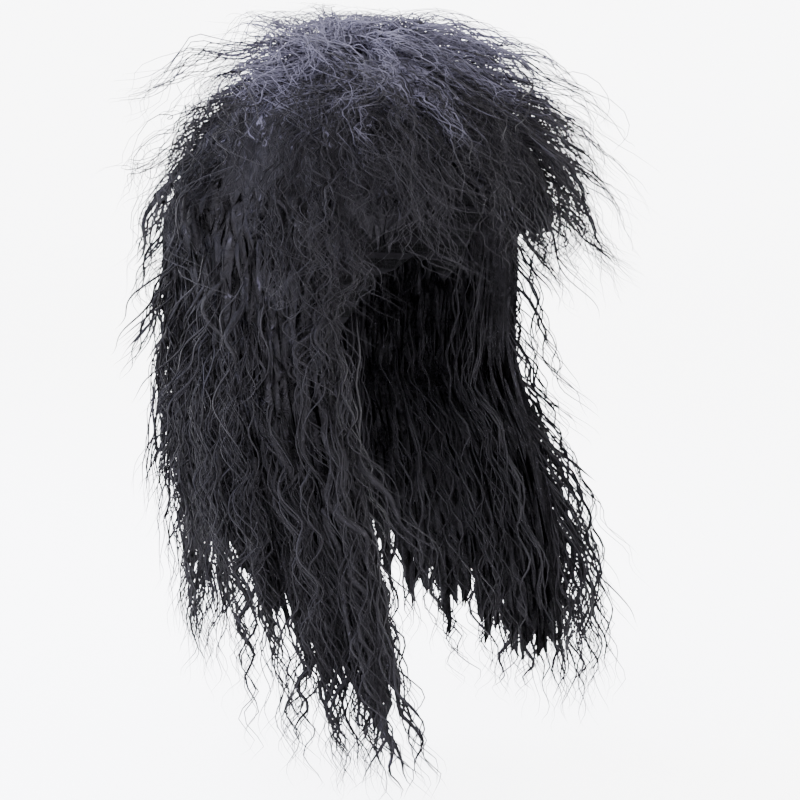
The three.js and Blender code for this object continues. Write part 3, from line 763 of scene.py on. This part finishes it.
SETS = [
    dict(LONG, name="right_side_hair", seed=11, azimuth=(-133, -55), locks=130, strands=720, crowd=1),
    dict(
        LONG, name="left_side_hair", seed=12, azimuth=(54, 133), locks=120, strands=520, crowd=-1,
        depth=(0.45, 1.12), flick=(0.9, 2.1), flick_power=1.2,
    ),
    dict(LONG, name="back_hair", seed=13, azimuth=(127, 233), locks=130, strands=540),
    dict(SHORT, name="crown_hair", seed=14, azimuth=(-180, 180), locks=110, strands=760),
    dict(
        SHORT, name="crown_hair_tufts", seed=21, azimuth=(-180, 180), locks=90, strands=860,
        short=(-0.05, 1.0), long=(50, 100), rise=34, depth=(1.0, 1.15), depth_jitter=0.04,
        flick=(1.1, 2.3), flick_power=2.2, bend=0.8, splay=0.08,
        wave=5.2, wave_length=(18, 32), crimp=1.0, drift=36, wander=17, curl=22, loop=3.6,
        loose=0.05, stray=3, bundle=1.6, gather=0.8, width=(0.45, 0.95), taper=6, rings=28, bodies=False,
    ),
    dict(
        SHORT, name="crown_hair_front_tufts", seed=23, azimuth=(-5, 75), locks=22, strands=150,
        short=(-0.08, 0.6), long=(70, 110), rise=30, depth=(1.05, 1.25),
        flick=(1.5, 2.2), flick_power=1, low_flick=1, bend=0.9, splay=0.1,
        wave=3.2, wave_length=(20, 34), crimp=0.8, drift=10,
        loose=0.06, stray=3, bundle=1.5, gather=0.75, width=(0.5, 1.1), taper=6, rings=28,
        body_rings=24, body_width=(1.6, 4.5),
    ),
    dict(
        SHORT, name="crown_hair_loose", seed=24, azimuth=(-180, 180), locks=36, strands=70,
        short=(0.1, 1.0), long=(45, 80), depth=(1.0, 1.2),
        flick=(1.3, 2.1), flick_power=1, top_flick=0.9, bend=0.7, splay=0.15,
        wave=5.5, wave_length=(14, 26), wave_grow=30, crimp=0.5, drift=34, curl=14, loop=6,
        loose=0.1, bundle=1.6, gather=0.6, width=(0.4, 0.7), taper=8, rings=30, bodies=False,
    ),
    dict(
        SHORT, name="fringe_hair", seed=15, azimuth=(-62, 64), locks=80, strands=620, ends="fringe",
        short=(-0.05, 0.3), short_power=1.3, long=(60, 105), first=3, root_depth=0.45, depth=(0.55, 1.05),
        flick=(0.6, 2.1), flick_power=1.1, top_flick=1, low_flick=1, bend=1.5,
        drift=12, wander=8, gather=0.75, rings=27, body_rings=22, body_width=(1.4, 4),
    ),
]
INNER = dict(
    LONG, name="inner_hair_strands", seed=22, azimuth=(54, 306), locks=80, strands=150, short=(0.1, 0.5),
    long=(150, 210), layered=1, root_depth=0.12, least_depth=0.0, depth=(0.0, 0.14), flick=(0.0, 0.5),
    crimp=0.0, width=(0.8, 2.2), rings=24,
)

for spec in MASSES:
    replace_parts(mass(spec, PACKED), spec["node"])
for spec in SETS:
    if spec["bodies"]:
        lock_bodies(spec["name"] + "_locks", spec, PACKED)
    strands(spec["name"] + "_strands", spec, STRAND)
strands(INNER["name"], INNER, STRAND)

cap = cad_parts["wig_cap"]
cap.data.materials.clear()
cap.data.materials.append(NET)

# The studio, in metres.
FLOOR_HEIGHT, FLOOR_RADIUS, BACKDROP_HEIGHT, BACKDROP_RADII = -0.455, 7, 4.5, (2.6, 6.5)
FLOOR_GLOW, STUDIO_LIGHT = 3.2, 3.0


def studio_floor():
    """A pale disc under the wig whose rim rises into a backdrop all round: height = rise *
    smoothstep(radius). It is uncoated paper with a fine grain, lit from behind so that it stays pale."""
    radius = np.concatenate([[0.0], np.linspace(0.3, FLOOR_RADIUS, 24)])
    angle = np.radians(np.arange(0, 360, 10))
    height = FLOOR_HEIGHT + BACKDROP_HEIGHT * smoothstep(radius, *BACKDROP_RADII)
    r, a = np.meshgrid(radius, angle, indexing="ij")
    z = np.broadcast_to(height[:, None], r.shape)
    points = np.stack([r * np.cos(a), r * np.sin(a), z], -1).reshape(-1, 3)
    rows, columns = r.shape
    i, j = np.meshgrid(np.arange(rows - 1), np.arange(columns), indexing="ij")
    n = (j + 1) % columns
    faces = np.stack([i * columns + j, (i + 1) * columns + j, (i + 1) * columns + n, i * columns + n], -1)
    mesh = bpy.data.meshes.new("studio_floor")
    mesh.from_pydata(points.tolist(), [], faces.reshape(-1, 4).tolist())
    mesh.polygons.foreach_set("use_smooth", np.ones(len(mesh.polygons), bool))
    material, tree = new_material("pale_paper_floor")
    place = add(tree, "ShaderNodeTexCoord").outputs["Object"]
    grain = add(tree, "ShaderNodeTexNoise", {"Scale": 350.0, "Detail": 2.0}, Vector=place).outputs["Fac"]
    shader = add(
        tree,
        "ShaderNodeBsdfPrincipled",
        {"Roughness": 0.9, "Emission Color": linear("#ffffff"), "Emission Strength": FLOOR_GLOW},
        Base_Color=ramp(tree, grain, [(0.3, "#f2f2f3"), (0.7, "#f9f9fa")]),
    )
    add(tree, "ShaderNodeOutputMaterial", {}, Surface=shader.outputs[0])
    mesh.materials.append(material)
    floor = bpy.data.objects.new("studio_floor", mesh)
    bpy.context.scene.collection.objects.link(floor)


def direction(azimuth, elevation):
    """The unit vector towards a place that lies so many degrees from the face to the wearer's left, and so
    many above the level."""
    a, e = math.radians(azimuth), math.radians(elevation)
    return Vector((math.sin(a) * math.cos(e), -math.cos(a) * math.cos(e), math.sin(e)))


def soft_light(name, azimuth, elevation, distance, size, power, colour="#ffffff"):
    """A square lamp that looks at the middle of the wig."""
    target = Vector((0, 0, -0.15))
    place = direction(azimuth, elevation) * distance + target
    lamp = bpy.data.objects.new(name, bpy.data.lights.new(name, "AREA"))
    lamp.data.size, lamp.data.energy, lamp.data.color = size, power, linear(colour)[:3]
    lamp.location = place
    lamp.rotation_euler = (target - place).to_track_quat("-Z", "Y").to_euler()
    bpy.context.scene.collection.objects.link(lamp)


studio_floor()
soft_light("key_light", -75, 50, 2.0, 1.2, 34)
soft_light("fill_light", 15, 35, 2.2, 1.6, 34)
soft_light("rim_light", -150, 30, 2.0, 1.0, 105, "#cfd4ff")
world = bpy.data.worlds.new("pale_studio")
world.use_nodes = True
background = world.node_tree.nodes["Background"]
background.inputs["Color"].default_value = linear("#ffffff")
background.inputs["Strength"].default_value = STUDIO_LIGHT
bpy.context.scene.world = world

CAMERA_AZIMUTH, CAMERA_ELEVATION, CAMERA_DISTANCE = -52, 8, 1.21
right = direction(CAMERA_AZIMUTH + 90, 0)
back = direction(CAMERA_AZIMUTH, CAMERA_ELEVATION)
camera = bpy.data.objects.new("camera", bpy.data.cameras.new("camera"))
camera.data.lens, camera.data.sensor_width = 85, 36
camera.data.clip_start, camera.data.clip_end = 0.05, 50
camera.location = right * 0.028 + Vector((0, 0, -0.195)) + back * CAMERA_DISTANCE
camera.rotation_euler = (-back).to_track_quat("-Z", "Y").to_euler()
bpy.context.scene.collection.objects.link(camera)
bpy.context.scene.camera = camera
